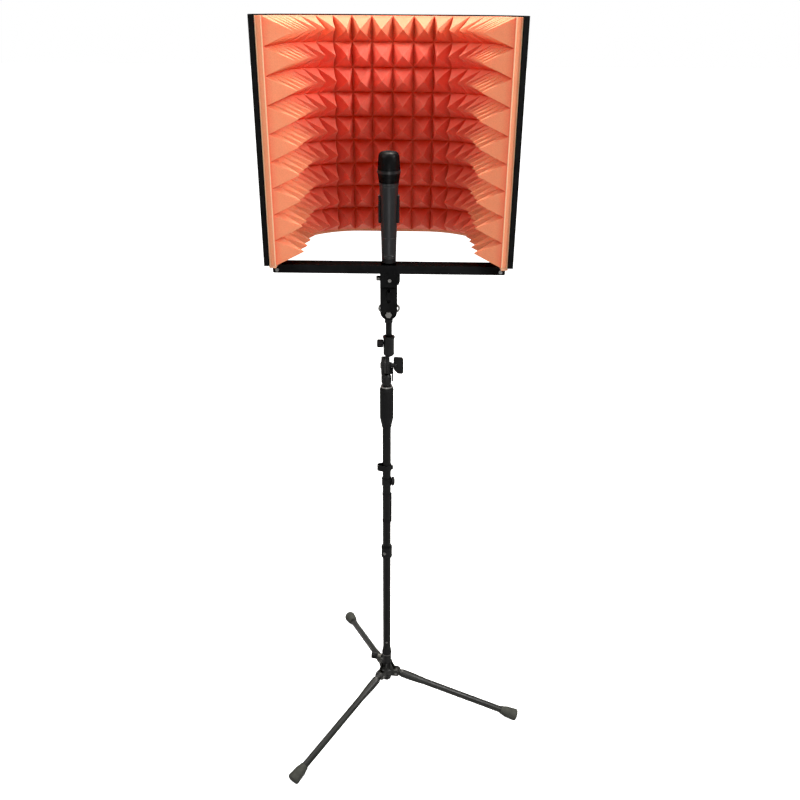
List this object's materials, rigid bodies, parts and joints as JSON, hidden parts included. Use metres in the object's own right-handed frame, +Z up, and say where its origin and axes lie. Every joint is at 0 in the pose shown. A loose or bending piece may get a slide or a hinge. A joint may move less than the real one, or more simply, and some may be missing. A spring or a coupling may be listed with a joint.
{
  "type": "microphone isolation shield on a tripod stand",
  "caption": "Telescoping tripod microphone stand with a tilting, turning U-shaped acoustic shield lined with pyramid foam, and a handheld microphone in a clip.",
  "frame": {"origin": "pole axis at floor level", "axes": "+Z up along the pole, the open side of the shield faces -Y, +X to the right for someone facing the open side"},
  "size_m": [0.6375, 0.6522, 1.8],
  "materials": {
    "base_black": "satin black powder coat",
    "leg_paint": "satin dark grey paint",
    "tube_paint": "satin black paint",
    "black_plastic": "matte moulded black",
    "soft_rubber": "matte rubber",
    "bright_steel": "zinc plated",
    "grey_steel": "dull zinc",
    "nylon": "natural nylon",
    "red_fibre": "friction fibre",
    "bracket_paint": "satin black paint",
    "panel": "fine-grained black",
    "edge_rubber": "matte black",
    "foam": "open-cell acoustic foam",
    "mic_shell": "charcoal satin lacquer",
    "mic_mesh": "dark wire mesh",
    "mic_trim": "dark satin"
  },
  "bodies": {
    "base": {"hub": "base_black", "hub_ring": "bright_steel", "lower_tube": "tube_paint", "tube_rivet": "grey_steel", "pole_collar": "black_plastic", "collar_screw": "grey_steel", "pin_left": "grey_steel", "pin_right": "grey_steel", "pin_rear": "grey_steel", "cable_keeper": "black_plastic", "clamp_band": "black_plastic", "clutch_core": "black_plastic", "clutch_collet": "nylon"},
    "hub_screw": {"hub_knob": "black_plastic"},
    "leg_front_left": {"leg_left": "leg_paint", "foot_left": "soft_rubber"},
    "leg_front_right": {"leg_right": "leg_paint", "foot_right": "soft_rubber"},
    "leg_back": {"leg_rear": "leg_paint", "foot_rear": "soft_rubber"},
    "cable_hook": {"cable_clip": "black_plastic"},
    "band_screw": {"clamp_knob": "black_plastic"},
    "height_clutch": {"clutch_grip": "black_plastic", "clutch_ring": "bright_steel"},
    "mast": {"upper_tube": "tube_paint", "tube_bush": "nylon", "swivel_block": "base_black", "swivel_washer": "red_fibre"},
    "tilt_head": {"rod_holder": "base_black", "swivel_bolt": "bright_steel"},
    "tilt_screw": {"t_knob": "black_plastic"},
    "rod_screw": {"holder_knob": "black_plastic"},
    "rod": {"boom_rod": "tube_paint"},
    "booth": {"bracket_front": "bracket_paint", "bracket_rear": "bracket_paint", "bracket_block": "bracket_paint", "bracket_cap": "bracket_paint", "cap_screw": "bright_steel", "cross_bolt": "grey_steel", "cross_nut": "black_plastic", "hex_bolt": "bright_steel", "cross_bar": "bracket_paint", "corner_left": "bracket_paint", "corner_right": "bracket_paint", "bar_screw_left": "bright_steel", "bar_screw_right": "bright_steel", "shell": "panel", "edge_trim": "edge_rubber", "foam": "foam", "clip_plate": "bracket_paint", "clip_base": "black_plastic", "clip_pivot": "bright_steel"},
    "bracket_wing": {"wing_nut": "grey_steel"},
    "mic_holder": {"clip_cradle": "black_plastic"},
    "microphone": {"mic_body": "mic_shell", "mic_end": "black_plastic", "mic_grille": "mic_mesh", "mic_ring": "mic_trim", "mic_capsule": "grey_steel"}
  },
  "joints": [
    {"name": "hub_screw_turn", "type": "hinge", "parent": "base", "child": "hub_screw", "pos_m": [0, 0, 0.162], "axis": [-0.9877, 0.1564, 0], "continuous": true},
    {"name": "leg_left_fold", "type": "hinge", "parent": "base", "child": "leg_front_left", "pos_m": [-0.01762, -0.02176, 0.112], "axis": [-0.7771, 0.6293, 0], "range_deg": [0, 106], "stiffness_Nm_per_rad": 3000},
    {"name": "leg_right_fold", "type": "hinge", "parent": "base", "child": "leg_front_right", "pos_m": [0.02765, -0.00438, 0.112], "axis": [-0.1564, -0.9877, 0], "range_deg": [0, 106], "stiffness_Nm_per_rad": 3000},
    {"name": "leg_rear_fold", "type": "hinge", "parent": "base", "child": "leg_back", "pos_m": [-0.01003, 0.02614, 0.112], "axis": [0.9336, 0.3584, 0], "range_deg": [0, 106], "stiffness_Nm_per_rad": 3000},
    {"name": "cable_hook_turn", "type": "hinge", "parent": "base", "child": "cable_hook", "pos_m": [0, 0, 0.779], "axis": [0, 0, 1], "continuous": true},
    {"name": "band_screw_turn", "type": "hinge", "parent": "base", "child": "band_screw", "pos_m": [0.013, 0, 0.737], "axis": [1, 0, 0], "continuous": true},
    {"name": "clutch_twist", "type": "hinge", "parent": "base", "child": "height_clutch", "pos_m": [0, 0, 0.94], "axis": [0, 0, 1], "range_deg": [0, 90]},
    {"name": "mast_height", "type": "slide", "parent": "base", "child": "mast", "axis": [0, 0, 1], "range_m": [0, 0.3]},
    {"name": "swivel_tilt", "type": "hinge", "parent": "mast", "child": "tilt_head", "pos_m": [0, 0, 1.054], "axis": [1, 0, 0], "range_deg": [-45, 90], "stiffness_Nm_per_rad": 1500},
    {"name": "tilt_screw_turn", "type": "hinge", "parent": "tilt_head", "child": "tilt_screw", "pos_m": [0.02, 0, 1.054], "axis": [1, 0, 0], "continuous": true},
    {"name": "rod_screw_turn", "type": "hinge", "parent": "tilt_head", "child": "rod_screw", "pos_m": [-0.01, 0, 1.109], "axis": [1, 0, 0], "continuous": true},
    {"name": "booth_turn", "type": "hinge", "parent": "tilt_head", "child": "rod", "pos_m": [0.005, 0, 1.1], "axis": [0, 0, 1], "range_deg": [-180, 180]},
    {"name": "booth_lean", "type": "hinge", "parent": "rod", "child": "booth", "pos_m": [0.005, 0, 1.186], "axis": [0, 1, 0], "range_deg": [-25, 25]},
    {"name": "wing_turn", "type": "hinge", "parent": "booth", "child": "bracket_wing", "pos_m": [0.005, 0.02, 1.186], "axis": [0, 1, 0], "continuous": true},
    {"name": "clip_tilt", "type": "hinge", "parent": "booth", "child": "mic_holder", "pos_m": [0.005, 0.036, 1.352], "axis": [1, 0, 0], "range_deg": [-30, 0]},
    {"name": "mic_lift_out", "type": "slide", "parent": "mic_holder", "child": "microphone", "axis": [0, 0, 1], "range_m": [0, 0.2]}
  ]
}
